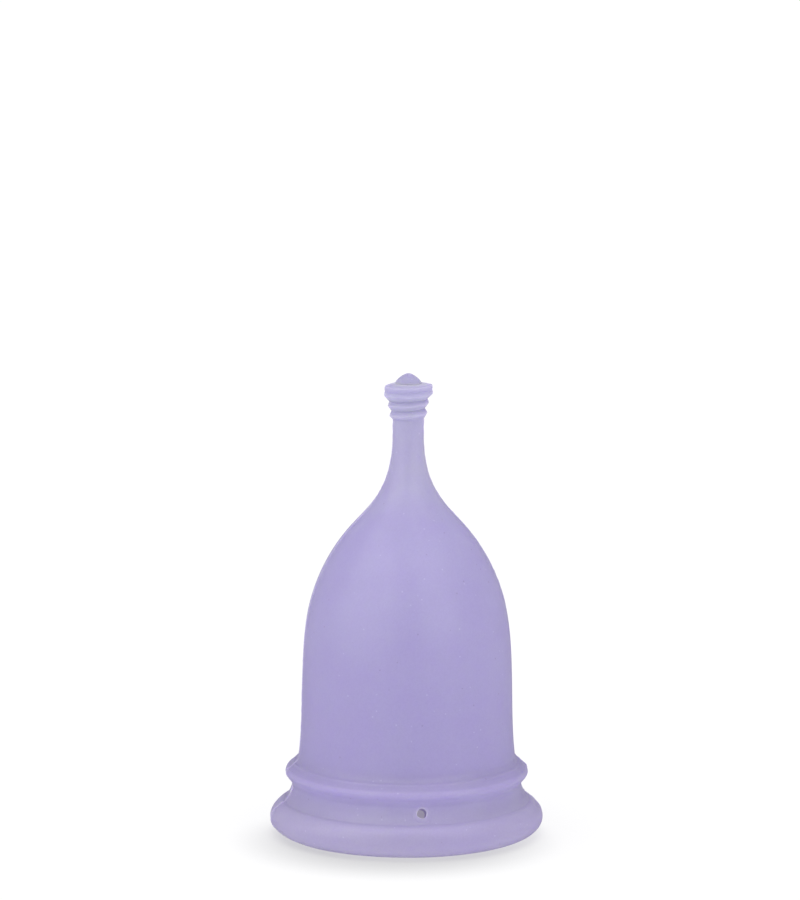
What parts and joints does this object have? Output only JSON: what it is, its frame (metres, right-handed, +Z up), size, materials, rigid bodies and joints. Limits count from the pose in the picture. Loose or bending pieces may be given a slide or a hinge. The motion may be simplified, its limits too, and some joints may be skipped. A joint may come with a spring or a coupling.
{
  "type": "menstrual cup",
  "caption": "Soft silicone bell cup with a thick rounded rim, a second ring above it, air vent holes and a hollow stem ending in a ribbed squeeze valve.",
  "frame": {"origin": "on the cup's axis, in the plane that its rim stands on", "axes": "+Z up along the axis from the rim to the valve, -Y towards the front vent hole, X along the slit in the valve's dome"},
  "size_m": [0.0394, 0.0394, 0.0685],
  "materials": {
    "silicone": "satin, slightly translucent lilac silicone, a little paler and greyer at the thin stem and valve"
  },
  "bodies": {
    "cup": {"rim": "silicone", "vent_collar": "silicone", "secondary_rim": "silicone", "cup_body": "silicone", "cup_base": "silicone", "stem": "silicone"},
    "head": {"valve_head": "silicone"},
    "lip_front": {"valve_lip_front": "silicone"},
    "lip_back": {"valve_lip_back": "silicone"}
  },
  "joints": [
    {"name": "stem_bend", "type": "hinge", "parent": "cup", "child": "head", "pos_m": [0, 0, 0.0575], "axis": [0, 1, 0], "range_deg": [-35, 35], "stiffness_Nm_per_rad": 0.0026, "deforming": ["stem"]},
    {"name": "valve_open", "type": "hinge", "parent": "head", "child": "lip_front", "pos_m": [0, -0.00198, 0.06693], "axis": [1, 0, 0], "range_deg": [0, 25], "stiffness_Nm_per_rad": 0.00001},
    {"name": "valve_back_open", "type": "hinge", "parent": "head", "child": "lip_back", "pos_m": [0, 0.00198, 0.06693], "axis": [-1, 0, 0], "range_deg": [0, 25], "stiffness_Nm_per_rad": 0.00001}
  ],
  "couplings": [
    {"joint": "valve_back_open", "follows": "valve_open", "ratio": 1}
  ]
}
